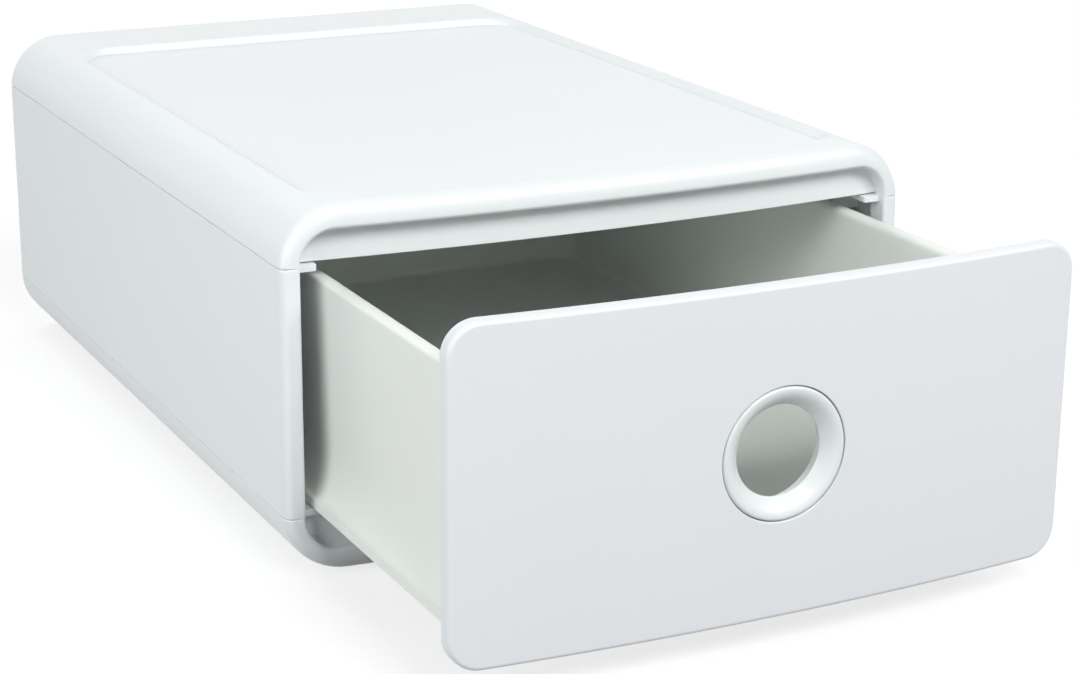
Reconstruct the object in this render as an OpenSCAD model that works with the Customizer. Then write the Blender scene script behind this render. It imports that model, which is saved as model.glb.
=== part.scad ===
// Stackable drawer box. A casing of a top, a base, two sides and a back stands on four pads,
// and a drawer with a round finger hole slides on rails between the sides.

/* [Casing] */
// Width across the side panels
case_w = 271; // [240:1:320]
// Depth from the front edges of the side panels to the back
case_d = 372; // [320:1:420]
// Height of the casing without its feet
case_h = 144.5; // [130:0.5:180]
// Radius of the four long edges
case_r = 25; // [20:0.5:30]
// Thickness of the moulded walls
wall = 2.6; // [2:0.1:3.2]
// Height of the top panel and of the base panel, up to their seams
panel_h = 23.2; // [22.6:0.2:28]
// How far the middle of the front stands ahead of its side edges
front_bow = 7.4; // [2:0.1:9]
// Depth of the rounding around the front edge
edge_depth = 5; // [3:0.5:8]
// Width of that rounding on the sides
edge_side = 3; // [2:0.5:6]
// Height of that rounding on the top and base
edge_rise = 8; // [3:0.5:8.5]
// Width of the frame beside the drawer opening
lip_w = 7.8; // [6:0.1:10]
// Height of the frame over and under the drawer opening
lip_h = 9.6; // [8.6:0.1:12]
// Corner radius of the drawer opening
open_r = 13.6; // [10:0.2:14]
// Depth from the back of the closed front plate to the fascia behind it
fascia_depth = 3.8; // [1:0.1:6]
// Gap between the rails and the fascia over them
fascia_gap = 0.5; // [0.3:0.1:1]
// Height of the shadow line along the seams
groove_h = 0.6; // [0.4:0.1:1]
// Depth of the shadow line along the seams
groove_d = 0.8; // [0.4:0.1:1.2]

/* [Stacking recess and feet] */
// Depth of the recess in the top
recess_depth = 3.8; // [3:0.1:5]
// Distance from the side of the casing to the recess
recess_side = 22.3; // [16:0.1:26]
// Distance from the middle of the front edge to the recess
recess_front = 21.5; // [18:0.5:30]
// Distance from the back of the casing to the recess
recess_back = 44; // [20:1:60]
// Corner radius of the recess
recess_r = 17; // [12:1:24]
// Radius of a foot pad
foot_r = 7; // [5:0.5:9]
// Height of a foot pad below the casing
foot_h = 2.5; // [1.5:0.1:2.8]
// Depth of the seat of a foot pad in the base
foot_seat = 1.2; // [0.8:0.1:1.5]
// Sideways play of a foot pad in the recess of the box below
stack_gap = 0.8; // [0.4:0.1:1.5]

/* [Rails and joinery] */
// How far a rail reaches in from the frame
rail_reach = 7.5; // [6:0.1:9]
// Thickness of a rail
rail_t = 2.5; // [2:0.1:3.5]
// Distance from the front edge to the stop under the upper rail
stop_set = 25; // [20:1:40]
// Length of the stop along the rail
stop_t = 3; // [2:0.5:5]
// Height of the stop below the rail
stop_h = 8; // [5:0.5:10]
// Height of the tongue that locates the top and base panels
tongue_h = 4; // [3.5:0.1:5]
// Thickness of that tongue
tongue_t = 2; // [1.5:0.1:2.5]
// Number of snap lugs along each tongue
snap_count = 4; // [3:1:6]
// Length of a snap lug
snap_l = 10; // [6:1:16]
// Radius of the bosses for the back panel's screws
boss_r = 4.5; // [4:0.1:5]
// Length of those bosses
boss_l = 14; // [13:1:20]
// Radius of a screw's shank
screw_r = 1.45; // [1.2:0.05:1.7]

/* [Drawer] */
// How far the drawer stands open
pull_out = 121; // [0:1:200]
// Thickness of the front plate
plate_t = 6; // [5:0.1:8]
// How far the closed front plate stands ahead of the frame
plate_proud = 3.2; // [0:0.1:4]
// Gap at each side of the front plate
plate_gap_side = 1.7; // [1:0.1:4]
// Gap over the front plate
plate_gap_top = 0.8; // [0.6:0.1:3]
// Gap under the front plate
plate_gap_base = 1.1; // [0.8:0.1:4]
// Corner radius of the front plate
plate_r = 12.2; // [8:0.2:16]
// Rounding of the front plate's edges
plate_edge = 1.8; // [0.8:0.1:2.5]
// Thickness of the tub's walls and floor
tub_wall = 2.4; // [2:0.1:3]
// Width of the tub's rolled rim
rim_w = 6.5; // [6:0.1:8]
// Gap between the rim and the rails over it
rim_gap = 3.6; // [3:0.1:8]
// Gap between the rim and the inner edge of the rails beside it
rim_side = 1.2; // [0.8:0.1:3]
// Height of the tub's floor over its runners
floor_rise = 10.8; // [8:0.1:16]
// How much the inner walls lean in from rim to floor
lean = 2.9; // [1:0.1:4]
// How far the runners lie over the lower rails
runner_lap = 3.7; // [2.5:0.1:5]
// Height of the runner's edge
runner_h = 4; // [3:0.1:6]
// Height of the flare over the runner's edge
flare_h = 20; // [12:1:30]
// Radius of the tub's inner corners
tub_r = 8; // [4:0.5:12]
// Number of cross webs under the floor
web_count = 5; // [3:1:7]
// Distance from the tub's side walls to the front screws
screw_in = 24; // [16:1:40]
// Height of the lower front screws over the floor
screw_low = 12; // [8:1:24]
// Depth of the upper front screws below the rim
screw_high = 16; // [12:1:24]
// Distance from the tub's rear to its stop ears
ear_back = 60; // [30:1:90]
// Length of a stop ear
ear_l = 12; // [8:1:20]

/* [Pull ring] */
// Radius of the ring's seat in the front plate
ring_r = 25.1; // [22:0.1:28]
// Radius of the finger hole
finger_r = 17; // [15:0.1:18]
// Depth of the curved face at the finger hole
ring_dish = 4.5; // [3:0.1:5]
// Thickness of the ring's flange
ring_flange = 2.4; // [1.6:0.1:3]
// Thickness of the lock collar behind the tub wall
collar_t = 2; // [1.5:0.1:3]

/* [Clearances] */
// Running gap between the drawer and the rails, above and below
slide_gap = 0.3; // [0.2:0.05:0.6]
// Gap between the closed front plate and the noses of the rails, which stop it
close_gap = 0.3; // [0.2:0.1:1]
// Gap between the closed tub and the back panel
rear_gap = 1.9; // [1:0.1:5]
// Gap around parts that are fitted into each other
fit_gap = 0.3; // [0.15:0.05:0.5]
// Gap between parts that are screwed face to face
seat_gap = 0.1; // [0.05:0.05:0.2]
// Visible gap around the pull ring
ring_gap = 0.4; // [0.2:0.1:0.8]

/* [Hidden] */

$fn = 64;
bow_steps = 10;             // straight steps in each half of the wide arc
form_fn = 40;
edge_steps = 6;
past = 1;                   // how far a cutter runs past the face that it opens

front_y = -case_d / 2;
back_y = case_d / 2;
half_w = case_w / 2;
mid_z = case_h / 2;
top_seam_z = case_h - panel_h;
low_seam_z = panel_h;

// The front of the casing and the drawer's front plate follow one wide arc.
bow_r = (half_w * half_w + front_bow * front_bow) / (2 * front_bow);
bow_y = front_y - front_bow + bow_r;
plate_back_set = plate_t - plate_proud;
fascia_set = plate_back_set + fascia_depth;
well_set = fascia_set + wall;

open_x = half_w - lip_w;
rail_x = open_x - rail_reach;
rail_y = y_on_bow(open_x - plate_gap_side, plate_back_set) + close_gap;
rail_low_top = low_seam_z + rail_t;
rail_high_low = top_seam_z - rail_t;

// Stacking: the feet nest in the corners of the recess below them.
recess_x = half_w - recess_side;
recess_fore = front_y - front_bow + recess_front;
recess_rear = back_y - recess_back;
foot_shift = (recess_r - foot_r - stack_gap) * cos(45);
foot_x = recess_x - recess_r + foot_shift;
foot_front_y = recess_fore + recess_r - foot_shift;
foot_rear_y = recess_rear - recess_r + foot_shift;
foot_chamfer = 0.5;

// Snaps and screws
snap_out = 0.8;
snap_h = 1.8;
snap_rise = 1.4;
tongue_front = 14;          // from the frame's rear face to the tongue's front end
tongue_rear = 24;           // from the casing's back to the tongue's rear end
boss_x = half_w - case_r + 2;
boss_drop = boss_r + 1.5;   // from the wall's inner face to the boss's axis
bore_r = screw_r + 0.05;
hole_r = screw_r + 0.25;
head_r = screw_r * 2.1;
sink_h = 1.6;
back_screw_l = boss_l - 2;
rib_t = 2;
rib_h = 6;
rib_count = 3;

// Drawer, closed. The drawer's nodes are moved out by pull_out.
plate_x = open_x - plate_gap_side;
plate_low = lip_h + plate_gap_base;
plate_high = case_h - lip_h - plate_gap_top;
plate_mid = (plate_low + plate_high) / 2;
tub_set = plate_back_set + seat_gap;
tub_in_set = tub_set + tub_wall;
tub_back = back_y - wall - rear_gap;
runner_z = rail_low_top + slide_gap;
runner_x = rail_x + runner_lap;
floor_z = runner_z + floor_rise;
rim_z = rail_high_low - rim_gap;
rim_x = rail_x - rim_side;
rim_r = rim_w / 2;
in_top_x = rim_x - rim_w;
in_low_x = in_top_x - lean;
flare_low = runner_z + runner_h;
flare_top = flare_low + flare_h;
flare_x = rim_x - lean / 2;
skirt_x = flare_x - tub_wall;
slot_top = rim_z - rim_w;
ear_x = open_x - 1.2;
ear_top = rail_high_low - slide_gap;
ear_low = rim_z - rim_w;

// Front screws stand between the ring and the tub's corners.
front_screw_x = in_low_x - screw_in;
front_screw_z = [floor_z + screw_low, rim_z - screw_high];
front_head_h = 1.8;
front_screw_l = tub_wall + plate_t - 1.8;
pocket_d = 2.9;
pocket_margin = 9;

// Pull ring
ring_z = plate_mid;
ring_face_y = y_on_bow(0, -plate_proud);
ring_out = ring_r - ring_gap;
ring_bead = 1.1;
ring_wall = 2;
ring_lip = 0.6;             // thickness of the edge around the finger hole
tube_out = ring_r - 3.3;
tube_in = tube_out - ring_wall;
collar_out = ring_r + 2.2;
collar_y = y_on_bow(collar_out, tub_in_set) + seat_gap;
tube_end = collar_y - ring_face_y + collar_t + 0.4;

// Depth of the arc that lies set behind the front edge, at distance x from the middle
function y_on_bow(x, set) = bow_y - sqrt(pow(bow_r - set, 2) - x * x);

// That arc as points from side to side
function arc_points(reach, set) =
    [for (i = [-bow_steps:bow_steps]) [i * reach / bow_steps, y_on_bow(i * reach / bow_steps, set)]];

// Inner and outer half widths of the tub's side wall at height z
function in_x(z) = in_low_x + lean * (z - floor_z) / (rim_z - rim_r - floor_z);
function out_x(z) = flare_x + (rim_x - flare_x) * (z - flare_top) / (rim_z - rim_r - flare_top);
function mirrored(points) = [for (i = [len(points) - 1:-1:0]) [-points[i].x, points[i].y]];

// Everything at least set behind the bowed front, between two heights
module behind_front(set, low, high)
    translate([0, 0, low]) linear_extrude(height = high - low)
        polygon(concat([[half_w, back_y + past], [-half_w, back_y + past]], arc_points(half_w, set)));

// An outline in X and Z made solid between two depths
module along_y(from, to)
    translate([0, to, 0]) rotate([90, 0, 0]) linear_extrude(height = to - from) children();

// An outline turned about an axis along Y that starts at depth y and height z
module turned(y, z)
    translate([0, y, z]) rotate([-90, 0, 0]) rotate_extrude() children();

// A cylinder along Y between two depths
module rod(x, z, r, from, to)
    translate([x, to, z]) rotate([90, 0, 0]) cylinder(r = r, h = to - from);

module rounded(w, h, r) {
    square([w, h - 2 * r], center = true);
    square([w - 2 * r, h], center = true);
    for (x = [-1, 1], y = [-1, 1]) translate([x * (w / 2 - r), y * (h / 2 - r)]) circle(r);
}

// The casing's cross section, drawn in by inset
module casing_outline(inset)
    translate([0, mid_z]) rounded(case_w - 2 * inset, case_h - 2 * inset, case_r - inset);

// The recess in plan, widened by grow
module recess_outline(grow)
    translate([0, (recess_fore + recess_rear) / 2])
        rounded(2 * (recess_x + grow), recess_rear - recess_fore + 2 * grow, recess_r + grow);

// The whole casing as one block with a rounded front edge, drawn in by inset
module casing_form(inset)
    hull()
        for (turn = [0:90 / edge_steps:90])
            casing_slice(turn, inset + edge_side * (1 - cos(turn)), inset + edge_rise * (1 - cos(turn)),
                inset + edge_depth * (1 - sin(turn)));

module casing_slice(turn, in_w, in_h, set)
    intersection() {
        along_y(front_y - front_bow, turn == 0 ? back_y : front_y + 2 * edge_depth)
            translate([0, mid_z])
                rounded(case_w - 2 * in_w, case_h - 2 * in_h, case_r - (in_w + in_h) / 2, $fn = form_fn);
        behind_front(set, 0, case_h);
    }

// The space inside the casing, behind its frame
module casing_space()
    intersection() {
        along_y(front_y - front_bow, back_y + past) casing_outline(wall);
        behind_front(well_set, 0, case_h);
    }

// The shallow well in the frame that the closed front plate fills
module front_well()
    difference() {
        along_y(front_y - front_bow - past, front_y + 2 * fascia_set)
            translate([0, mid_z]) rounded(2 * open_x, case_h - 2 * lip_h, open_r);
        behind_front(fascia_set, 0, case_h);
    }

// A strip that follows the casing's wall between two insets, two heights and two depths
module wall_strip(outer, inner, low, high, from, to)
    intersection() {
        along_y(from, to) difference() {
            casing_outline(outer);
            casing_outline(inner);
        }
        translate([0, from - past, low]) cube([half_w, to - from + 2 * past, high - low]);
    }

function tongue_start() = front_y + well_set + tongue_front;
function tongue_stop() = back_y - tongue_rear;
function snap_y(i) = tongue_start() + (i + 0.5) * (tongue_stop() - tongue_start()) / snap_count;

module both_sides() {
    children();
    mirror([1, 0, 0]) children();
}

// Pockets in the top panel's walls for the snap lugs
module snap_pockets()
    both_sides()
        for (i = [0:snap_count - 1])
            wall_strip(wall - snap_out - fit_gap, wall + fit_gap, top_seam_z + snap_rise - fit_gap,
                top_seam_z + snap_rise + snap_h + fit_gap, snap_y(i) - snap_l / 2 - fit_gap,
                snap_y(i) + snap_l / 2 + fit_gap);

// Screw bosses that hang from the top panel at the back
module boss_posts()
    both_sides() {
        rod(boss_x, case_h - wall - boss_drop, boss_r, back_y - wall - boss_l, back_y - wall);
        translate([boss_x - boss_r, back_y - wall - boss_l, case_h - wall - boss_drop])
            cube([2 * boss_r, boss_l, boss_drop + wall / 4]);
    }

// The top panel without its recess. Turned over, it is the base panel too.
module end_panel(recessed) {
    difference() {
        intersection() {
            casing_form(0);
            translate([-case_w, front_y - 2 * front_bow, top_seam_z]) cube([2 * case_w, 2 * case_d, panel_h]);
        }
        difference() {
            casing_space();
            if (recessed)
                translate([0, 0, case_h - recess_depth - wall])
                    linear_extrude(height = recess_depth + wall) recess_outline(wall);
        }
        front_well();
        translate([-open_x, front_y - 2 * front_bow, top_seam_z - past])
            cube([2 * open_x, 2 * well_set + 2 * front_bow, fascia_gap + past]);
        if (recessed)
            translate([0, 0, case_h - recess_depth])
                linear_extrude(height = recess_depth + past) recess_outline(0);
        snap_pockets();
    }
    difference() {
        boss_posts();
        both_sides()
            rod(boss_x, case_h - wall - boss_drop, bore_r, back_y - wall - boss_l - past, back_y);
    }
    stiffeners(case_h - wall - (recessed ? recess_depth : 0));
}

// Cross ribs on the inner face of the top or base panel
module stiffeners(face_z)
    for (i = [1:rib_count])
        translate([-recess_x, front_y + i * case_d / (rib_count + 1) - rib_t / 2, face_z - rib_h])
            cube([2 * recess_x, rib_t, rib_h + wall / 2]);

module flipped()
    translate([0, 0, 2 * mid_z]) mirror([0, 0, 1]) children();

module top_panel()
    color("white") end_panel(true);

module base_panel()
    color("gainsboro") difference() {
        flipped() end_panel(false);
        for (x = [-foot_x, foot_x], y = [foot_front_y, foot_rear_y])
            translate([x, y, -past]) cylinder(r = foot_r + fit_gap, h = foot_seat + past);
    }

// An upper or lower rail with its rounded nose
module rail(low) {
    nose_r = 1.2;
    translate([rail_x, front_y + fascia_set, low])
        cube([half_w - wall / 2 - rail_x, case_d - fascia_set - tongue_rear / 2, rail_t]);
    translate([0, 0, low]) linear_extrude(height = rail_t) {
        translate([rail_x + nose_r, rail_y]) square([rail_reach, fascia_set]);
        translate([rail_x, rail_y + nose_r]) square([rail_reach, fascia_set]);
        translate([rail_x + nose_r, rail_y + nose_r]) circle(nose_r);
    }
}

// The tongue and snap lugs over the upper rail
module tongue() {
    wall_strip(wall + fit_gap, wall + fit_gap + tongue_t, top_seam_z - rail_t / 2, top_seam_z + tongue_h,
        tongue_start(), tongue_stop());
    for (i = [0:snap_count - 1])
        wall_strip(wall - snap_out, wall + fit_gap + tongue_t / 2, top_seam_z + snap_rise,
            top_seam_z + snap_rise + snap_h, snap_y(i) - snap_l / 2, snap_y(i) + snap_l / 2);
}

// The shadow line that runs along a seam, just under the height given
module seam_groove(high)
    difference() {
        translate([0, front_y - 2 * front_bow, high - groove_h]) cube([case_w, 2 * case_d, groove_h + past]);
        casing_form(groove_d);
    }

module side_panel() {
    difference() {
        intersection() {
            casing_form(0);
            translate([open_x, front_y - front_bow, low_seam_z])
                cube([case_w, 2 * case_d, top_seam_z - low_seam_z]);
        }
        casing_space();
        seam_groove(top_seam_z);
        flipped() seam_groove(top_seam_z);
    }
    rail(low_seam_z);
    rail(rail_high_low);
    tongue();
    flipped() tongue();
    translate([rail_x, front_y + stop_set, rail_high_low - stop_h])
        cube([half_w - wall / 2 - rail_x, stop_t, stop_h + rail_t / 2]);
}

module right_side_panel()
    color("whitesmoke") side_panel();

module left_side_panel()
    color("whitesmoke") mirror([1, 0, 0]) side_panel();

module at_back_screws()
    for (x = [-boss_x, boss_x], z = [wall + boss_drop, case_h - wall - boss_drop])
        translate([x, back_y, z]) rotate([90, 0, 0]) children();

module back_panel()
    color("whitesmoke") difference() {
        along_y(back_y - wall, back_y) casing_outline(wall + fit_gap);
        at_back_screws() {
            translate([0, 0, -past]) cylinder(r = hole_r, h = wall + 2 * past);
            cylinder(r1 = head_r + fit_gap, r2 = hole_r, h = sink_h + fit_gap);
        }
    }

module back_panel_screws()
    color("silver") at_back_screws() {
        cylinder(r1 = head_r, r2 = screw_r, h = sink_h);
        cylinder(r = screw_r, h = back_screw_l);
    }

module foot(side, y)
    color("silver") translate([side * foot_x, y, -foot_h]) {
        cylinder(r1 = foot_r - foot_chamfer, r2 = foot_r, h = foot_chamfer);
        translate([0, 0, foot_chamfer]) cylinder(r = foot_r, h = foot_h + foot_seat - foot_chamfer);
    }

module foot_front_left() foot(-1, foot_front_y);
module foot_front_right() foot(1, foot_front_y);
module foot_rear_left() foot(-1, foot_rear_y);
module foot_rear_right() foot(1, foot_rear_y);

// The tub's outer cross section: rolled rim, leaning skirt, flare and runner edge
module tub_outline() {
    right = concat(
        [[runner_x, runner_z]],
        [for (a = [90:-10:0]) [runner_x - (runner_x - flare_x) * cos(a), flare_top - flare_h * sin(a)]],
        [for (a = [0:15:90]) [rim_x - rim_r * (1 - cos(a)), rim_z - rim_r * (1 - sin(a))]]);
    polygon(concat(right, mirrored(right)));
}

// The tub's inner cross section, which rolls out over the rim
module tub_space_outline() {
    right = concat(
        [[in_low_x, floor_z]],
        [for (a = [0:15:90]) [in_top_x + rim_r * (1 - cos(a)), rim_z - rim_r * (1 - sin(a))]],
        [[in_top_x + rim_r, rim_z + past]]);
    polygon(concat(right, mirrored(right)));
}

// The hollow under the floor and up between the skirt and the inner wall
module tub_underside_outline() {
    under_floor = floor_z - tub_wall;
    right = [[skirt_x, runner_z - past], [skirt_x, flare_top],
        [out_x(slot_top) - tub_wall, slot_top], [in_x(slot_top) + tub_wall, slot_top],
        [in_x(under_floor) + tub_wall, under_floor]];
    polygon(concat(right, mirrored(right)));
}

// The hollow is cut in bays, and the webs between them tie the skirts to the floor.
module tub_bays() {
    start = front_y - front_bow;
    bay = (tub_back - tub_wall - start) / (web_count + 1);
    intersection() {
        for (i = [0:web_count])
            along_y(start + i * bay + (i == 0 ? 0 : rib_t / 2),
                start + (i + 1) * bay - (i == web_count ? 0 : rib_t / 2)) tub_underside_outline();
        behind_front(tub_in_set, 0, case_h);
    }
}

module tub_ears()
    both_sides()
        translate([rim_x - rim_r, tub_back - ear_back - ear_l, ear_low])
            cube([ear_x - rim_x + rim_r, ear_l, ear_top - ear_low]);

// A rounded upright corner inside the tub, at a front wall whose inner face is at wall_y
module corner_fillet(wall_y)
    translate([in_top_x - tub_r, wall_y + tub_r, floor_z - tub_wall / 2])
        linear_extrude(height = rim_z - rim_r - floor_z + tub_wall / 2) difference() {
            translate([0, -tub_r - tub_wall / 2]) square(tub_r + tub_wall / 2);
            circle(tub_r);
        }

module at_front_screws()
    for (x = [-front_screw_x, front_screw_x], z = front_screw_z)
        translate([x, y_on_bow(front_screw_x, tub_in_set) + fit_gap, z]) rotate([90, 0, 0]) children();

module out_by_pull()
    translate([0, -pull_out, 0]) children();

module drawer_tub()
    color("whitesmoke") out_by_pull() {
        difference() {
            intersection() {
                along_y(front_y - front_bow, tub_back) tub_outline();
                behind_front(tub_set, 0, case_h);
            }
            intersection() {
                along_y(front_y - front_bow, tub_back - tub_wall) tub_space_outline();
                behind_front(tub_in_set, 0, case_h);
            }
            tub_bays();
            rod(0, ring_z, tube_out + fit_gap, front_y - front_bow, front_y + 2 * well_set);
            at_front_screws() translate([0, 0, -past]) cylinder(r = hole_r, h = 3 * tub_wall);
        }
        tub_ears();
        both_sides() {
            corner_fillet(y_on_bow(in_top_x, tub_in_set));
            mirror([0, 1, 0]) corner_fillet(tub_wall - tub_back);
        }
    }

module plate_form()
    hull()
        for (turn = [0:30:90])
            intersection() {
                inset = plate_edge * (1 - cos(turn));
                along_y(front_y - 2 * front_bow - plate_t, front_y + plate_back_set) translate([0, plate_mid])
                    rounded(2 * (plate_x - inset), plate_high - plate_low - 2 * inset, plate_r - inset,
                        $fn = form_fn);
                behind_front(plate_edge * (1 - sin(turn)) - plate_proud, 0, case_h);
            }

// Pockets behind the plate, between the ring and the screws, that save material
module plate_pockets() {
    from_x = collar_out + pocket_margin / 2;
    to_x = front_screw_x - pocket_margin;
    low = floor_z;
    high = rim_z - rim_w;
    both_sides()
        for (z = [low, (low + high + rib_t) / 2])
            translate([from_x, y_on_bow(from_x, plate_back_set) - pocket_d, z])
                cube([to_x - from_x, 3 * pocket_d, (high - low - rib_t) / 2]);
}

module drawer_front()
    color("white") out_by_pull() difference() {
        plate_form();
        behind_front(plate_back_set, 0, case_h);
        plate_pockets();
        rod(0, ring_z, ring_r, ring_face_y - past, ring_face_y + ring_flange + seat_gap);
        rod(0, ring_z, tube_out + fit_gap, ring_face_y, front_y + well_set);
        at_front_screws() cylinder(r = bore_r, h = front_screw_l + fit_gap + seat_gap);
    }

module front_screws()
    color("silver") out_by_pull() at_front_screws() {
        translate([0, 0, -front_head_h]) cylinder(r = head_r, h = front_head_h);
        cylinder(r = screw_r, h = front_screw_l);
    }

// The ring's section: a bead at the seam, a face that curves in to the finger hole, and a tube behind
module ring_section() {
    dish_w = ring_out - ring_bead - finger_r;
    polygon(concat(
        [[tube_out, ring_flange], [ring_out, ring_flange]],
        [for (a = [0:15:90]) [ring_out - ring_bead * (1 - cos(a)), ring_bead * (1 - sin(a))]],
        [for (t = [0.1:0.1:1]) [finger_r + dish_w * (1 - t), ring_dish * (1 - cos(90 * t))]],
        [[finger_r, ring_dish + ring_lip], [tube_in, ring_dish + ring_wall],
            [tube_in, tube_end], [tube_out, tube_end]]));
}

module pull_ring()
    color("white") out_by_pull() turned(ring_face_y, ring_z) ring_section();

module ring_collar()
    color("white") out_by_pull() difference() {
        rod(0, ring_z, collar_out, collar_y, collar_y + collar_t);
        rod(0, ring_z, tube_out + seat_gap / 2, collar_y - past, collar_y + collar_t + past);
    }

top_panel();
base_panel();
left_side_panel();
right_side_panel();
back_panel();
back_panel_screws();
foot_front_left();
foot_front_right();
foot_rear_left();
foot_rear_right();
drawer_tub();
drawer_front();
front_screws();
pull_ring();
ring_collar();
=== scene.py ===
"""Looks of the stackable drawer box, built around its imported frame.

Sizes are in millimetres, with x to the right, y to the rear and z up. The four casing panels, the front
plate, the pull ring and the tub are built here anew with softer edges, and replace the frame's. The back
panel, the screws, the pads and the ring's collar are the frame's own meshes.
"""
import math

import bmesh
import bpy
import numpy as np
from mathutils import Matrix, Vector


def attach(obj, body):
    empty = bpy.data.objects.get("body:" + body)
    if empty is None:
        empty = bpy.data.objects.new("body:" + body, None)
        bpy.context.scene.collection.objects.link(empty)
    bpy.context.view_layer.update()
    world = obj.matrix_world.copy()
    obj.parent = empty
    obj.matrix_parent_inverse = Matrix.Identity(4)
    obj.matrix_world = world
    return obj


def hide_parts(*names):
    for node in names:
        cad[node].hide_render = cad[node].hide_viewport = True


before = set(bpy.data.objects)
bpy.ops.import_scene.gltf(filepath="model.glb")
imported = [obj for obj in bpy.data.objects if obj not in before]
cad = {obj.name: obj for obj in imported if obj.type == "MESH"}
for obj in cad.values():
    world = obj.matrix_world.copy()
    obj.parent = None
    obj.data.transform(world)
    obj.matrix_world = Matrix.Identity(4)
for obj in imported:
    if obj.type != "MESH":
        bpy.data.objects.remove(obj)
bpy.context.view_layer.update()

MM = 0.001
WELD = 0.004                            # points closer than this become one
SHARP = math.radians(35)                # edges that turn more than this stay sharp

# ---------------------------------------------------------------- sizes of the casing
HALF_W = 135.5
FRONT, BACK = -186.0, 186.0
TOP = 144.5
MID_Z = TOP / 2
WALL = 2.6
CASE_R = 25.0                           # rounding of the four long edges
CASE_CX, CASE_CZ = HALF_W - CASE_R, TOP - CASE_R
SEAM = 121.3                            # the upper seam; the lower one mirrors it at half height
SEAM_LOW = TOP - SEAM
SEAM_TURN = math.asin((SEAM - CASE_CZ) / CASE_R)
GROOVE_H, GROOVE_D = 0.35, 0.8          # shadow line in the side panel along a seam
SOFT_UP, SOFT_DOWN = 0.6, 0.25          # rounding of the edges at a seam that look up and down
BOW = 7.4                               # how far the front stands out in the middle
BOW_R = (HALF_W ** 2 + BOW ** 2) / (2 * BOW)
BOW_Y = FRONT - BOW + BOW_R
EDGE_DEPTH, EDGE_SIDE, EDGE_RISE = 5.0, 3.0, 8.0        # front edge: how far it rounds back, in and down
LIP_W, LIP_H, LIP_ROUND = 7.8, 9.6, 1.4                 # frame around the opening
OPEN_X, OPEN_R = HALF_W - LIP_W, 13.6
FASCIA_SET, FASCIA_LOW = 6.6, SEAM + 0.5                # strip above the opening
WELL_SET = 9.2                          # rear of the frame around the opening
COVE = 2.0                              # hollow between the fascia and the lip
REAR_RIM, REAR_BEVEL = 0.8, 0.3         # outer and inner edge of the rear rim

RECESS_X, RECESS_FORE, RECESS_REAR = 113.2, -171.9, 142.0
RECESS_R, RECESS_Z = 17.0, 140.7
# the recess's edge as its reach outward, its drop and the fillet at its foot: along the front and rear, what
# the gently sloped left and right sides add, and on the inner face
RECESS_EDGE = 1.4, 2.2, 1.6
RECESS_EDGE_BESIDE = 3.4, 0.9, -0.9
RECESS_EDGE_INSIDE = 0.12, 0.6, 1.0
SLOPE_EASE = 0.04                       # softens the two ends of the sloped sides

RIB_HALF, RIB_H = 1.0, 6.0
BOSS_X, BOSS_DOWN, BOSS_R, BOSS_Y = 112.5, 6.0, 4.5, (169.4, 183.3)

RAIL_X, RAIL_FREE_X = 120.2, 128.2      # inner edge of the rails, and outer edge of their free noses
RAIL_ROOT = 126.0, 133.4                # the strip that joins a rail to the wall
RAIL_FORE, RAIL_REAR, RAIL_T = -178.5, 173.9, 2.5
RAIL_NOSE_R = 1.2
RAIL_TO_PLATE = 0.3                     # gap between the noses and the closed plate
STOP_Y, STOP_Z = (-161.0, -158.0), (110.8, 119.5)

# ---------------------------------------------------------------- sizes of the drawer
PULL = 121.0                            # how far the drawer stands open at rest
PLATE_X, PLATE_LOW, PLATE_HIGH = 126.0, 10.7, 134.1
PLATE_R, PLATE_EDGE = 12.2, 1.8
PLATE_BACK_SET, PLATE_FACE_SET = 2.8, -3.2
RING_Z, RING_R, FINGER_R = 72.4, 24.7, 17.0
SEAT_R, SEAT_DEPTH, SEAT_ROUND = 25.1, 2.5, 0.35
TUBE_R, TUBE_IN_R, TUBE_END = 21.8, 19.8, 11.2
TUBE_HOLE_R, TUBE_HOLE_Y = 22.1, (-320.0, -290.0)

RIM_X, RIM_Z, RIM_R = 119.0, 115.2, 3.25
RIM_POWER = 0.76                        # below 1, the rolled rim is fuller than a round
RIM_OUTER_DROP = 1.7                    # its outer side turns down more tightly than the inner
RIM_END_DROP, RIM_END_POWER = 0.8, 0.45                 # the same rim along the tub's front and rear
IN_TOP, IN_LOW, FLOOR_Z = 112.5, 109.6, 36.8
FLOOR_FILLET = 3.0
RUNNER_X, RUNNER_Z, RUNNER_ROUND = 123.9, 26.0, 0.5
FLARE_X, FLARE_TOP, FLARE_H = 117.55, 50.0, 20.0
SKIRT_X, SKIRT_BEVEL = 115.15, 0.3
TUB_WALL = 2.4
TUB_SET, TUB_IN_SET = 2.9, 5.3
TUB_BACK = 181.5
TUB_IN_BACK = TUB_BACK - TUB_WALL
TUB_IN_R, TUB_OUT_R, TUB_UNDER_R = 8.0, 2.0, 1.0        # upright corners: inside, outside and underneath
UNDER_Z = FLOOR_Z - TUB_WALL
SLOT_TOP = RIM_Z - 2 * RIM_R            # top of the hollow between the wall and the skirt
WEB_BAYS, WEB_HALF, WEB_SINK, WEB_TOP_X = 6, 1.0, 0.5, 116.6
EAR_X, EAR_FROM_BACK, EAR_TOP = (115.8, 126.5), (72.0, 60.0), 118.5


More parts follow.
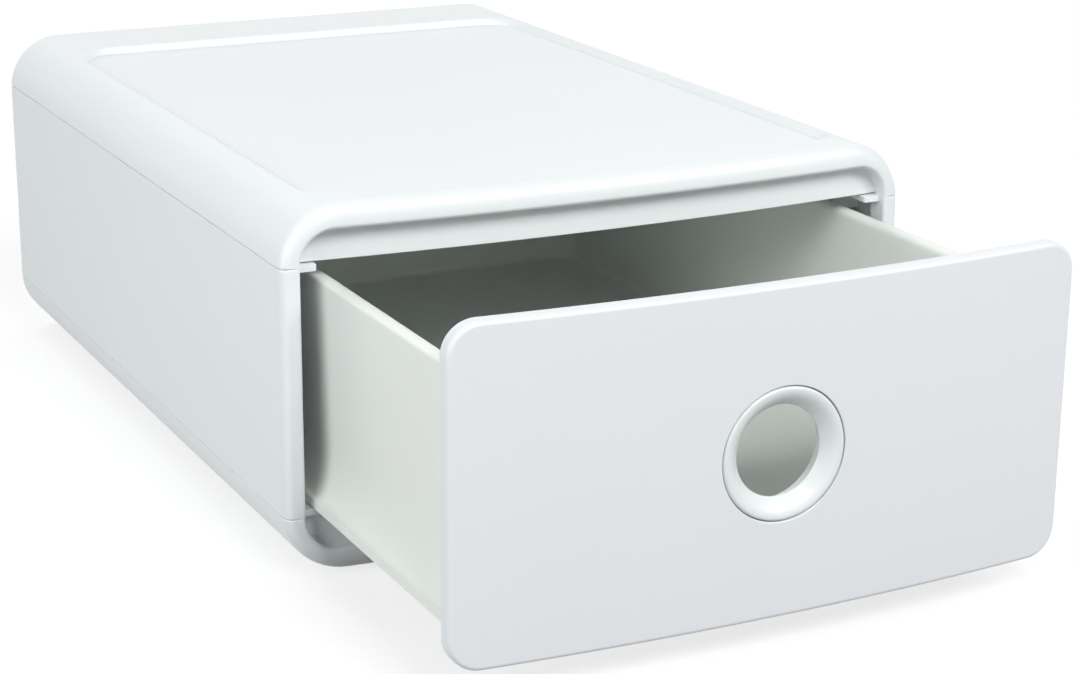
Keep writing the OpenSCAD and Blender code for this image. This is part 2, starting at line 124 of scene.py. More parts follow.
# ---------------------------------------------------------------- mesh building
class Shell:
    """Collects grids and caps in millimetres and turns them into one mesh."""

    def __init__(self):
        self.points = []
        self.faces = []
        self.count = 0

    def add(self, points):
        points = np.asarray(points, float).reshape(-1, 3)
        first = self.count
        self.points.append(points)
        self.count += len(points)
        return first

    def grid(self, rows, wrap_rows=False, wrap_columns=False):
        """Quads over an array of rows x columns x 3. Returns the vertex numbers."""
        rows = np.asarray(rows, float)
        n, m = rows.shape[:2]
        index = self.add(rows) + np.arange(n * m).reshape(n, m)
        for i in range(n if wrap_rows else n - 1):
            for j in range(m if wrap_columns else m - 1):
                a, b = (i + 1) % n, (j + 1) % m
                self.faces.append((index[i, j], index[i, b], index[a, b], index[a, j]))
        return index

    def cap(self, numbers):
        self.faces.append(tuple(int(i) for i in numbers))

    def mesh(self, name):
        mesh = bpy.data.meshes.new(name)
        bm = bmesh.new()
        verts = [bm.verts.new(p * MM) for p in np.concatenate(self.points)]
        for face in self.faces:
            corners = []
            for i in face:
                if verts[i] not in corners:
                    corners.append(verts[i])
            if len(corners) > 2:
                try:
                    bm.faces.new(corners)
                except ValueError:      # the face is there already
                    pass
        bmesh.ops.remove_doubles(bm, verts=bm.verts, dist=WELD * MM)
        bmesh.ops.dissolve_degenerate(bm, edges=bm.edges, dist=WELD * MM / 2)
        bmesh.ops.recalc_face_normals(bm, faces=bm.faces)
        for face in bm.faces:
            face.smooth = True
        bm.to_mesh(mesh)
        bm.free()
        mesh.set_sharp_from_angle(angle=SHARP)
        return mesh


def add_to_scene(name, data):
    obj = bpy.data.objects.new(name, data)
    bpy.context.scene.collection.objects.link(obj)
    return obj


def weight_normals(obj):
    """Lets large faces set the shading, so that they look flat beside their rounded edges."""
    weighted = obj.modifiers.new("weighted", "WEIGHTED_NORMAL")
    weighted.keep_sharp = True
    weighted.weight = 80


def make(name, shell, body, replaced=()):
    """A piece of the part: its mesh, the body it rides on and the nodes it replaces."""
    obj = add_to_scene(name, shell.mesh(name))
    weight_normals(obj)
    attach(obj, body)
    if replaced:
        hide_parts(*replaced)
    return obj


def bore(obj, r, y_range, z):
    """Cuts a round hole along y through a finished piece."""
    shell = Shell()
    angles = np.radians(np.arange(0, 360, 5))
    index = shell.grid([np.stack([r * np.cos(angles), np.full(len(angles), y), z + r * np.sin(angles)], 1)
                        for y in y_range], wrap_columns=True)
    shell.cap(index[0])
    shell.cap(index[1])
    cutter = add_to_scene("cutter", shell.mesh("cutter"))
    obj.modifiers.clear()
    cut = obj.modifiers.new("cut", "BOOLEAN")
    cut.operation = "DIFFERENCE"
    cut.solver = "EXACT"
    cut.object = cutter
    bpy.context.view_layer.update()
    done = bpy.data.meshes.new_from_object(obj.evaluated_get(bpy.context.evaluated_depsgraph_get()))
    obj.modifiers.clear()
    old, obj.data = obj.data, done
    bpy.data.meshes.remove(old)
    bpy.data.objects.remove(cutter)
    obj.data.set_sharp_from_angle(angle=SHARP)
    weight_normals(obj)


# ---------------------------------------------------------------- outlines
def quarter(points):
    """A quarter round of radius 1, as rows of its distance in from the one face and back from the other."""
    turn = np.radians(np.linspace(0, 90, points))
    return np.stack([1 - np.cos(turn), 1 - np.sin(turn)], 1)


def offset_loop(loop, by):
    """A closed 2-D loop moved in by a distance, with mitred corners. The loop runs anticlockwise."""
    loop = np.asarray(loop, float)
    before = loop - np.roll(loop, 1, 0)
    after = np.roll(loop, -1, 0) - loop
    before /= np.linalg.norm(before, axis=1)[:, None]
    after /= np.linalg.norm(after, axis=1)[:, None]
    n1 = np.stack([-before[:, 1], before[:, 0]], 1)
    n2 = np.stack([-after[:, 1], after[:, 0]], 1)
    mitre = n1 + n2
    mitre /= np.maximum((mitre * n1).sum(1), 0.3)[:, None]      # the limit keeps very sharp corners in place
    return loop + by * mitre


def prism(shell, loop, low, high, axis="z", bevel=0.3):
    """A closed 2-D loop made solid between two levels along z or y, with softly bevelled rims."""
    def place(p, level):
        level = np.full(len(p), level)
        return np.stack([p[:, 0], p[:, 1], level] if axis == "z" else [p[:, 0], level, p[:, 1]], 1)

    knee = bevel * 0.3
    inner, near = offset_loop(loop, bevel), offset_loop(loop, knee)
    index = shell.grid([place(inner, low), place(near, low + knee), place(loop, low + bevel),
                        place(loop, high - bevel), place(near, high - knee), place(inner, high)],
                       wrap_columns=True)
    shell.cap(index[0])
    shell.cap(index[-1])


def box_loop(x0, x1, y0, y1, r, steps=4):
    """An anticlockwise rectangle with rounded corners."""
    points = []
    for cx, cy, start in ((x1 - r, y0 + r, -90), (x1 - r, y1 - r, 0),
                          (x0 + r, y1 - r, 90), (x0 + r, y0 + r, 180)):
        for a in np.radians(np.linspace(start, start + 90, steps + 1)):
            points.append((cx + r * math.cos(a), cy + r * math.sin(a)))
    return np.array(points)


def on_side(side, loop):
    """A plan drawn for the right, as it is (1) or mirrored to the left (-1), anticlockwise either way."""
    loop = loop * (side, 1)
    return loop if side > 0 else loop[::-1]


def bow(x, set_back):
    """Depth of the bowed front, moved back by set_back, at distance x from the middle."""
    return BOW_Y - np.sqrt((BOW_R - set_back) ** 2 - np.asarray(x, float) ** 2)


def arch(q, in_w, in_h, r):
    """Points (x, z) of an arch from the left seam over the top to the right seam.
    q runs 0..1 up the left corner, 1..2 across the top and 2..3 down the right corner."""
    hw, top = HALF_W - in_w, TOP - in_h
    cx, cz = hw - r, top - r
    straight = max(cz - SEAM, 0.0)
    a0 = 0.0 if cz >= SEAM else math.asin((SEAM - cz) / r)
    total = straight + r * (math.pi / 2 - a0)
    q = np.asarray(q, float)
    d = np.where(q < 1, q, np.where(q > 2, 3 - q, 1.0)) * total
    angle = a0 + np.clip(d - straight, 0, None) / r
    x = np.where(d < straight, hw, cx + r * np.cos(angle))
    z = np.where(d < straight, SEAM + d, cz + r * np.sin(angle))
    middle = (q > 1) & (q < 2)
    x = np.where(middle, -cx + 2 * cx * (q - 1), np.where(q <= 1, -x, x))
    z = np.where(middle, top, z)
    return x, z


def q_of_x(x):
    """The arch parameter of a place x on the outer arch."""
    x = np.asarray(x, float)
    angle = np.arccos(np.clip((np.abs(x) - CASE_CX) / CASE_R, 0, 1))
    side = (angle - SEAM_TURN) / (math.pi / 2 - SEAM_TURN)
    return np.where(np.abs(x) <= CASE_CX, 1 + (x + CASE_CX) / (2 * CASE_CX), np.where(x < 0, side, 3 - side))


def inward(by):
    """Insets and corner radius of the casing's outline moved in by a distance."""
    return by, by, CASE_R - by


def edge_outline(turn):
    """Insets, corner radius and set-back of the rounded front edge at one turn in degrees."""
    c, s = 1 - math.cos(math.radians(turn)), 1 - math.sin(math.radians(turn))
    in_w, in_h = EDGE_SIDE * c, EDGE_RISE * c
    return in_w, in_h, CASE_R - (in_w + in_h) / 2, EDGE_DEPTH * s


def plan_loop(hx, set_back, rear, r, n_arc=8, n_front=24, n_side=24, n_back=12, arc_r=BOW_R, arc_y=BOW_Y):
    """An outline in plan with a bowed front and rounded corners. Returns its points, its outward normals,
    where each of its four sides starts, and the centre of its front-right corner. Its sides run front, right,
    rear and left, each from the middle of a corner."""
    big = arc_r - set_back
    cx = hx - r
    cy = arc_y - math.sqrt((big - r) ** 2 - cx ** 2)
    beta = math.degrees(math.asin(cx / (big - r)))
    points, normals, starts = [], [], [0]

    def arc(x, y, a, b):
        for t in np.radians(np.linspace(a, b, n_arc + 1))[:-1]:
            points.append((x + r * math.cos(t), y + r * math.sin(t)))
            normals.append((math.cos(t), math.sin(t)))

    def line(start, end, n, place, normal):
        for t in np.linspace(start, end, n + 1)[:-1]:
            points.append(place(t))
            normals.append(normal)

    left_mid, right_mid = 225 - beta / 2, 315 + beta / 2
    arc(-cx, cy, left_mid, 270 - beta)
    for t in np.linspace(-math.radians(beta), math.radians(beta), n_front + 1)[:-1]:
        points.append((big * math.sin(t), arc_y - big * math.cos(t)))
        normals.append((math.sin(t), -math.cos(t)))
    arc(cx, cy, 270 + beta, right_mid)
    starts.append(len(points))
    arc(cx, cy, right_mid, 360)
    line(cy, rear - r, n_side, lambda y: (hx, y), (1.0, 0.0))
    arc(cx, rear - r, 0, 45)
    starts.append(len(points))
    arc(cx, rear - r, 45, 90)
    line(cx, -cx, n_back, lambda x: (x, rear), (0.0, 1.0))
    arc(-cx, rear - r, 90, 135)
    starts.append(len(points))
    arc(-cx, rear - r, 135, 180)
    line(rear - r, cy, n_side, lambda y: (-hx, y), (-1.0, 0.0))
    arc(-cx, cy, 180, left_mid)
    return np.array(points), np.array(normals), starts, (cx, cy)


# ---------------------------------------------------------------- casing
PLAIN, SIDE_SOFT, ALL_SOFT = range(3)   # how a row meets a seam: square, drawn in sideways, or back as well


def straight(y):
    """A row's depth that does not follow the bow."""
    return lambda x: np.full(x.shape, y)


def depth(x, y, soft_by, soft):
    """Depth of a row at x. Its y is a function of x, or a set-back behind the bow."""
    return y(x) if callable(y) else bow(x, y + (soft_by if soft == ALL_SOFT else 0))


def surface_z(x, inset):
    """Height of the casing's top, moved in by inset."""
    over = np.clip(np.abs(x) - CASE_CX, 0, None)
    return CASE_CZ + np.sqrt((CASE_R - inset) ** 2 - over ** 2)


def move_ends(values, ends, new_ends, kept):
    """Stretches values outside the kept range, so that their old ends land on the new ones."""
    return np.interp(values, [ends[0], *kept, ends[1]], [new_ends[0], *kept, new_ends[1]])


def recess_rings(loop, normals, inset):
    """Rows of points over the recess's edge and down to its floor."""
    # beside is 1 along the left and right sides, and 0 along the front and rear and on the inner face
    beside = np.zeros(len(loop)) if inset else normals[:, 0] ** 2
    reach, drop, fillet = (plain + more * beside for plain, more in
                           zip(RECESS_EDGE_INSIDE if inset else RECESS_EDGE, RECESS_EDGE_BESIDE))
    around = loop + normals * inset
    rings = []
    for u in np.linspace(0, 1, 9):
        t = u * math.pi / 2
        slope = u - SLOPE_EASE * math.sin(2 * math.pi * u)
        out = reach * ((1 - math.sin(t)) * (1 - beside) + (1 - u) * beside)
        down = drop * ((1 - math.cos(t)) * (1 - beside) + slope * beside)
        p = around + normals * out[:, None]
        rings.append(np.column_stack([p, surface_z(p[:, 0], inset) - down]))
    for into, up in quarter(8):
        rings.append(np.column_stack([around - normals * (fillet * into)[:, None],
                                      RECESS_Z - inset + fillet * up]))
    return rings


def end_panel(recessed):
    """The top panel with its recess, or without it the shape that the base panel has turned over.
    The skin has a front edge, a rear edge, a strip along each side and a middle, outside and inside."""
    shell = Shell()
    join_set, join_rear, join_x = 12.0, 150.0, 118.0    # the middle's front (behind the bow), rear and sides
    nearly_flat = 1.0e6
    n_arc, n_corner = 8, 12
    loop, normals, starts, (cx, cy) = plan_loop(RECESS_X, 0.0, RECESS_REAR, RECESS_R, n_arc=n_arc,
                                                arc_r=nearly_flat, arc_y=RECESS_FORE + nearly_flat)
    count = len(loop)
    front, right, rear, left = (np.arange(a, b + 1) % count for a, b in zip(starts, starts[1:] + [count]))

    # the middle's outline has a point for each point of the recess's, and way runs 0..1 along its sides
    front_mid, rear_mid, touch = abs(loop[0, 0]), abs(loop[starts[2], 0]), abs(loop[n_arc, 0])
    front_y = float(bow(join_x, join_set))
    rect = np.zeros_like(loop)
    rect[front, 0] = move_ends(loop[front, 0], (-front_mid, front_mid), (-join_x, join_x), (-touch, touch))
    rect[front, 1] = bow(rect[front, 0], join_set)
    rect[rear, 0] = move_ends(loop[rear, 0], (-rear_mid, rear_mid), (-join_x, join_x), (-cx, cx))
    rect[rear, 1] = join_rear
    for part, x in ((right, join_x), (left, -join_x)):
        rect[part, 0] = x
        rect[part, 1] = move_ends(loop[part, 1], loop[[starts[1], starts[2]], 1], (front_y, join_rear),
                                  (cy, RECESS_REAR - RECESS_R))
    way = (rect[:, 1] - front_y) / (join_rear - front_y)
    way[:starts[1]] = 0

    def between(x, way):
        return bow(x, join_set) * (1 - way) + join_rear * way

    # arch parameters from a seam to the middle, and how far the soft edge at the seam draws each one in
    seam_rise, seam_in = (SOFT_DOWN if recessed else SOFT_UP) * quarter(5).T
    corner_q = np.concatenate([seam_rise / (CASE_R * (math.pi / 2 - SEAM_TURN)),
                               np.linspace(0.03, float(q_of_x(-join_x)), n_corner + 1)[:-1]])
    corner_g = np.concatenate([seam_in, np.zeros(n_corner)])

    def columns(xs):
        return (np.concatenate([corner_q, q_of_x(xs), 3 - corner_q[::-1]]),
                np.concatenate([corner_g, np.zeros(len(xs)), corner_g[::-1]]))

    def row(q, g, in_w, in_h, r, y, soft=PLAIN):
        x, z = arch(q, in_w, in_h, r)
        if soft:
            x = np.sign(x) * (np.abs(x) - g)
        return np.stack([x, depth(x, y, g, soft), z], 1)

    def fascia_row(q, set_back, lift=0.0):
        x, z = arch(q, LIP_W, LIP_H, OPEN_R)
        return np.stack([x, bow(x, set_back), np.minimum(z, FASCIA_LOW + lift)], 1)

    def cove_row(q, back, up):
        """The cove fades out beside the fascia, where there is no room for it."""
        x, z = arch(q, LIP_W, LIP_H, OPEN_R)
        reach = np.minimum(COVE, 0.7 * np.clip(z - FASCIA_LOW - 0.3, 0, None))
        return np.stack([x, bow(x, FASCIA_SET - reach * up), z - reach * back], 1)

    def front_rows(q, g):
        inner = inward(WALL)
        edge, knee = 0.35, 0.1          # the fascia's rounded lower edge
        rows = [row(q, g, *inner, join_set),
                row(q, g, *inner, WELL_SET),
                fascia_row(q, WELL_SET),
                fascia_row(q, FASCIA_SET + edge),
                fascia_row(q, FASCIA_SET + knee, knee),
                fascia_row(q, FASCIA_SET, edge)]
        rows += [cove_row(q, back, up) for back, up in quarter(5)[::-1]]
        for out, back in LIP_ROUND * quarter(7):
            rows.append(row(q, g, LIP_W - out, LIP_H - out, OPEN_R + out, back))
        for turn in np.linspace(90, 0, 13):
            rows.append(row(q, g, *edge_outline(turn), ALL_SOFT if turn > 45 else SIDE_SOFT))
        rows.append(row(q, g, *inward(0), join_set, SIDE_SOFT))
        return rows

    def rear_rows(q, g):
        rows = [row(q, g, *inward(0), straight(join_rear), SIDE_SOFT)]
        for inset, fore in REAR_RIM * quarter(5):
            rows.append(row(q, g, *inward(inset), straight(BACK - fore), SIDE_SOFT))
        rows.append(row(q, g, *inward(WALL - REAR_BEVEL), straight(BACK)))
        rows.append(row(q, g, *inward(WALL), straight(BACK - REAR_BEVEL)))
        rows.append(row(q, g, *inward(WALL), straight(join_rear)))
        return rows

    front_edge = shell.grid(front_rows(*columns(rect[front, 0])))
    rear_edge = shell.grid(rear_rows(*columns(rect[rear, 0][::-1])))

    strip_q, strip_g = np.append(corner_q, q_of_x(-join_x)), np.append(corner_g, 0.0)
    strips = {}
    for inset in (0.0, WALL):
        for column, q in ((0, strip_q), (-1, 3 - strip_q)):
            strips[inset, column] = shell.grid([
                row(q, strip_g, *inward(inset), lambda x, w=w: between(x, w), PLAIN if inset else SIDE_SOFT)
                for w in way[right]])

    # the faces that lie on the seams
    for column in (0, -1):
        shell.cap([*front_edge[:, column], *strips[0.0, column][1:-1, 0], *rear_edge[:, column],
                   *strips[WALL, column][1:-1, 0][::-1]])

    for inset in (0.0, WALL):
        outer = rect.copy()
        if inset:
            # the inner sheet's columns sit at the same arch parameters
            outer[:, 0] = arch(q_of_x(rect[:, 0]), *inward(inset))[0]
            outer[:, 1] = between(outer[:, 0], way)
        rings = [np.column_stack([outer, surface_z(outer[:, 0], inset)])]
        if recessed:
            rings += recess_rings(loop, normals, inset)
        index = shell.grid(rings, wrap_columns=True)
        shell.cap(index[-1])
    return shell


def turned_over(shell):
    for points in shell.points:
        points[:, 2] = TOP - points[:, 2]
    return shell


def add_ribs(shell, face_z, down):
    """Three cross ribs on the inner face of the top panel (down 1) or the base panel (down -1)."""
    for i in (1, 2, 3):
        y = FRONT + i * (BACK - FRONT) / 4
        prism(shell, box_loop(-RECESS_X, RECESS_X, y - RIB_HALF, y + RIB_HALF, 0.6),
              *sorted((face_z, face_z - down * RIB_H)))


def add_bosses(shell, z):
    """The two bosses that take the back panel's screws."""
    angles = np.radians(np.arange(0, 360, 10))
    for x in (-BOSS_X, BOSS_X):
        loop = np.stack([x + BOSS_R * np.cos(angles), z + BOSS_R * np.sin(angles)], 1)
        prism(shell, loop, *BOSS_Y, axis="y", bevel=0.4)


def side_panel(side):
    """One side panel (1 right, -1 left) with the shadow lines along its seams, its rails and its stop."""
    shell = Shell()
    up_z, up_g = SOFT_UP * quarter(5).T
    down_z, down_g = SOFT_DOWN * quarter(5).T
    flat_z = [CASE_R, 48.6, MID_Z, 95.9, TOP - CASE_R]
    groove_low, groove_high = SEAM_LOW + GROOVE_H, SEAM - GROOVE_H
    zs = np.concatenate([[SEAM_LOW, groove_low], groove_low + down_z, flat_z,
                         groove_high - up_z[::-1], [groove_high, SEAM]])
    gs = np.concatenate([[GROOVE_D] * 2, down_g, np.zeros(len(flat_z)), up_g[::-1], [GROOVE_D] * 2])

    def outline_x(in_w, in_h, r):
        over = np.clip(np.abs(zs - MID_Z) - (TOP - in_h - r - MID_Z), 0, None)
        return HALF_W - in_w - r + np.sqrt(r ** 2 - over ** 2)

    def row(x, y, soft=PLAIN):
        x = x - (gs if soft else 0)
        return np.stack([side * x, depth(x, y, gs, soft), zs], 1)

    flat = np.full(len(zs), OPEN_X)
    inner = outline_x(*inward(WALL))
    rows = [row(inner, straight(BACK - REAR_BEVEL)), row(inner, WELL_SET), row(flat, WELL_SET)]
    for out, back in LIP_ROUND * quarter(7):
        rows.append(row(flat + out, back))
    for turn in np.linspace(90, 0, 13):
        *insets, back = edge_outline(turn)
        rows.append(row(outline_x(*insets), back, ALL_SOFT if turn > 45 else SIDE_SOFT))
    for inset, fore in REAR_RIM * quarter(5):
        rows.append(row(outline_x(*inward(inset)), straight(BACK - fore), SIDE_SOFT))
    rows.append(row(outline_x(*inward(WALL - REAR_BEVEL)), straight(BACK)))
    index = shell.grid(rows, wrap_rows=True)
    shell.cap(index[:, 0])
    shell.cap(index[:, -1])

    nose_y = float(bow(PLATE_X, PLATE_BACK_SET)) + RAIL_TO_PLATE
    clear = 0.001                       # keeps the faces of a rail's two parts from lying in one plane
    for z in (SEAM_LOW, SEAM - RAIL_T):
        prism(shell, on_side(side, box_loop(RAIL_X, RAIL_FREE_X, nose_y, RAIL_REAR, RAIL_NOSE_R)),
              z, z + RAIL_T, bevel=0.25)
        prism(shell, on_side(side, box_loop(*RAIL_ROOT, RAIL_FORE, RAIL_REAR, 0.2)),
              z + clear, z + RAIL_T - clear, bevel=0.1)
    prism(shell, on_side(side, box_loop(RAIL_X, RAIL_ROOT[1], *STOP_Y, 0.4)), *STOP_Z)
    return shell


# ---------------------------------------------------------------- drawer
def rounded_loop(hw, low, high, r, n_arc=16, step=4.0):
    """A rounded rectangle in (x, z), anticlockwise, starting on its right side."""
    points = []
    for cx, cz, start in ((hw - r, high - r, 0), (-hw + r, high - r, 90),
                          (-hw + r, low + r, 180), (hw - r, low + r, 270)):
        for a in np.radians(np.linspace(start, start + 90, n_arc + 1)):
            points.append((cx + r * math.cos(a), cz + r * math.sin(a)))
    n_long = int(2 * (hw - r) / step)
    n_short = int((high - low - 2 * r) / step)
    out = []
    for k in range(4):
        part = points[k * (n_arc + 1):(k + 1) * (n_arc + 1)]
        (x0, z0), (x1, z1) = part[-1], points[((k + 1) * (n_arc + 1)) % len(points)]
        n = n_short if k % 2 else n_long
        out += part
        out += [(x0 * (1 - i / n) + x1 * i / n, z0 * (1 - i / n) + z1 * i / n) for i in range(1, n)]
    return np.array(out)


def front_plate():
    """The bowed plate with its seat for the ring. Its rows run from the tube's hole over the back, the rim
    and the face into the seat."""
    shell = Shell()
    back_edge, back_knee = 0.4, 0.12
    centre = np.array([0, RING_Z])

    def rim(inset):
        return rounded_loop(PLATE_X - inset, PLATE_LOW + inset, PLATE_HIGH - inset, PLATE_R - inset)

    direction = rim(PLATE_EDGE) - centre
    direction /= np.linalg.norm(direction, axis=1)[:, None]

    def circle(r):
        return centre + direction * r

    def at(points, set_back):
        return np.column_stack([points[:, 0], bow(points[:, 0], set_back) - PULL, points[:, 1]])

    rows = [at(circle(TUBE_HOLE_R) * (1 - t) + rim(back_edge) * t, PLATE_BACK_SET) for t in (0, 0.25, 0.6, 1)]
    rows.append(at(rim(back_knee), PLATE_BACK_SET - back_knee))
    rows.append(at(rim(0.0), PLATE_BACK_SET - back_edge))
    for inset, back in PLATE_EDGE * quarter(9):
        rows.append(at(rim(inset), PLATE_FACE_SET + back))
    for t in (0.12, 0.3, 0.5, 0.7, 0.85, 0.95):
        rows.append(at(rim(PLATE_EDGE) * (1 - t) + circle(SEAT_R + SEAT_ROUND) * t, PLATE_FACE_SET))
    for out, back in SEAT_ROUND * quarter(5)[::-1]:
        rows.append(at(circle(SEAT_R + out), PLATE_FACE_SET + back))
    seat_y = float(bow(0, PLATE_FACE_SET)) + SEAT_DEPTH - PULL
    for r in (SEAT_R, TUBE_HOLE_R):
        p = circle(r)
        rows.append(np.column_stack([p[:, 0], np.full(len(p), seat_y), p[:, 1]]))
    shell.grid(rows, wrap_rows=True, wrap_columns=True)
    return shell


def finger_ring():
    """The ring turned from its section: flange, bead, dished face, finger hole, and the tube behind it."""
    shell = Shell()
    flange, bevel, bead, dish = 2.4, 0.2, 1.1, 4.5
    section = [(TUBE_R, flange), (RING_R - bevel, flange), (RING_R, flange - bevel)]
    section += [(RING_R - inset, back) for inset, back in bead * quarter(9)]
    width = RING_R - bead - FINGER_R
    for t in np.linspace(0, 1, 25)[1:-1]:
        section.append((FINGER_R + width * (1 - t), dish * (1 - math.cos(math.pi / 2 * t))))
    section += [(FINGER_R + out, y) for out, y in
                ((0.11, 4.42), (0.03, 4.55), (0.0, 4.7), (0.0, 4.9), (0.04, 5.03), (0.15, 5.15))]
    section += [(TUBE_IN_R, 6.5), (TUBE_IN_R, TUBE_END - bevel), (TUBE_IN_R + 0.3, TUBE_END),
                (TUBE_R - bevel, TUBE_END), (TUBE_R, TUBE_END - bevel)]
    turns = np.radians(np.arange(0, 360, 2.5))
    face_y = float(bow(0, PLATE_FACE_SET)) - PULL
    rows = [np.stack([r * np.cos(turns), np.full(len(turns), face_y + y), RING_Z + r * np.sin(turns)], 1)
            for r, y in section]
    shell.grid(rows, wrap_rows=True, wrap_columns=True)
    return shell


def inner_x(z):
    """The leaning inner face of the tub's side walls."""
    return IN_LOW + (IN_TOP - IN_LOW) * (z - FLOOR_Z) / (RIM_Z - RIM_R - FLOOR_Z)


def outer_x(z):
    """The leaning outer face of its skirts."""
    return FLARE_X + (RIM_X - FLARE_X) * (z - FLARE_TOP) / (RIM_Z - RIM_R - FLARE_TOP)


def drawer_tub():
    """The drawer's tub as one closed skin: floor, walls, rolled rim, skirt, runner and the hollow below."""
    shell = Shell()
    rings = []

    def ring(hx, front_set, rear, r, z_side, z_end=None):
        """A level line, or one that changes height between the tub's sides and its front and rear."""
        points, normals, _, _ = plan_loop(hx, front_set, rear, r, n_arc=6, n_front=24, n_side=20, n_back=12)
        w = np.abs(normals[:, 0])
        w = w * w * (3 - 2 * w)
        z = z_side * w + (z_side if z_end is None else z_end) * (1 - w)
        rings.append(np.column_stack([points[:, 0], points[:, 1] - PULL, z]))

    # inside: floor fillet and leaning walls, up to the rim
    for inset, up in FLOOR_FILLET * quarter(7)[::-1]:
        z = FLOOR_Z + up
        ring(inner_x(z) - inset, TUB_IN_SET + inset, TUB_IN_BACK - inset, TUB_IN_R - inset * 0.8, z)
    for z in (62.0, 86.0, 104.0):
        ring(inner_x(z), TUB_IN_SET, TUB_IN_BACK, TUB_IN_R, z)
    for a in np.linspace(0, 180, 17):
        c, s = math.cos(math.radians(a)), math.sin(math.radians(a))
        side_on = math.copysign(abs(c) ** RIM_POWER, c)
        across = (1 - side_on) / 2
        drop = RIM_R if a <= 90 else RIM_OUTER_DROP
        ring(RIM_X - RIM_R - RIM_R * side_on,
             TUB_IN_SET - TUB_WALL * across,
             TUB_BACK - TUB_WALL * (1 - across),
             TUB_IN_R - (TUB_IN_R - TUB_OUT_R) * across,
             RIM_Z - drop + drop * max(s, 0.0) ** RIM_POWER,
             RIM_Z - RIM_END_DROP + RIM_END_DROP * abs(s) ** RIM_END_POWER)

    # outside: skirt, flare and runner edge
    for z in (90.0, 70.0):
        ring(outer_x(z), TUB_SET, TUB_BACK, TUB_OUT_R, z)
    for t in np.radians(np.linspace(0, 90, 10)):
        ring(RUNNER_X - (RUNNER_X - FLARE_X) * math.cos(t), TUB_SET, TUB_BACK, TUB_OUT_R,
             FLARE_TOP - FLARE_H * math.sin(t))
    for inset, up in RUNNER_ROUND * quarter(4):
        ring(RUNNER_X - inset, TUB_SET, TUB_BACK, TUB_OUT_R, RUNNER_Z + up)

    # underneath: up inside the skirt, across, down the wall's outer face and under the floor
    for x, z_side, z_end in (
            (SKIRT_X + SKIRT_BEVEL, RUNNER_Z, None),
            (SKIRT_X, RUNNER_Z + SKIRT_BEVEL, None),
            (SKIRT_X, FLARE_TOP, UNDER_Z - 0.02),
            (outer_x(SLOT_TOP) - TUB_WALL, SLOT_TOP, UNDER_Z - 0.01),
            (inner_x(SLOT_TOP) + TUB_WALL, SLOT_TOP, UNDER_Z),
            (inner_x(UNDER_Z) + TUB_WALL, UNDER_Z, None)):
        ring(x, TUB_IN_SET, TUB_IN_BACK, TUB_UNDER_R, z_side, z_end)
    index = shell.grid(rings, wrap_columns=True)
    shell.cap(index[0])
    shell.cap(index[-1])
    return shell


def tub_details():
    """Webs under the floor, with their edges sunk in the walls, and the ears that meet the stops."""
    shell = Shell()
    start = FRONT - BOW
    right = [(SKIRT_X + WEB_SINK, RUNNER_Z + 0.4), (SKIRT_X + WEB_SINK, FLARE_TOP),
             (WEB_TOP_X, SLOT_TOP + WEB_SINK), (inner_x(SLOT_TOP) + TUB_WALL - WEB_SINK, SLOT_TOP + WEB_SINK),
             (inner_x(UNDER_Z) + TUB_WALL - WEB_SINK, UNDER_Z + WEB_SINK)]
    web = np.array(right + [(-x, z) for x, z in reversed(right)])
    for i in range(1, WEB_BAYS):
        y = start + i * (TUB_IN_BACK - start) / WEB_BAYS - PULL
        prism(shell, web, y - WEB_HALF, y + WEB_HALF, axis="y", bevel=0.05)
    ear_y = [TUB_BACK - d - PULL for d in EAR_FROM_BACK]
    for side in (-1, 1):
        prism(shell, on_side(side, box_loop(*EAR_X, *ear_y, 0.8)), SLOT_TOP, EAR_TOP, bevel=0.5)
    return shell


# ---------------------------------------------------------------- the pieces
top_shell = end_panel(True)
add_ribs(top_shell, RECESS_Z - WALL, 1)
add_bosses(top_shell, TOP - WALL - BOSS_DOWN)
casing_top = make("casing_top", top_shell, "casing", ["top_panel"])

base_shell = turned_over(end_panel(False))
add_ribs(base_shell, WALL, -1)
add_bosses(base_shell, WALL + BOSS_DOWN)
casing_base = make("casing_base", base_shell, "casing", ["base_panel"])

casing_left = make("casing_left", side_panel(-1), "casing", ["left_side_panel"])
casing_right = make("casing_right", side_panel(1), "casing", ["right_side_panel"])

plate = make("drawer_plate", front_plate(), "drawer", ["drawer_front"])
ring = make("finger_ring", finger_ring(), "drawer", ["pull_ring"])
tub = make("drawer_body", drawer_tub(), "drawer", ["drawer_tub"])
bore(tub, TUBE_HOLE_R, TUBE_HOLE_Y, RING_Z)
webs = make("drawer_webs", tub_details(), "drawer")


# ---------------------------------------------------------------- materials
def add_node(tree, kind, inputs):
    """A new node. Each input in the table gets a value, or a link when it is another node's socket."""
    node = tree.nodes.new(kind)
    for key, value in inputs.items():
        if isinstance(value, bpy.types.NodeSocket):
            tree.links.new(value, node.inputs[key])
        else:
            node.inputs[key].default_value = value
    return node


def maths(tree, operation, a, b):
    node = add_node(tree, "ShaderNodeMath", {0: a, 1: b})
    node.operation = operation
    return node.outputs["Value"]


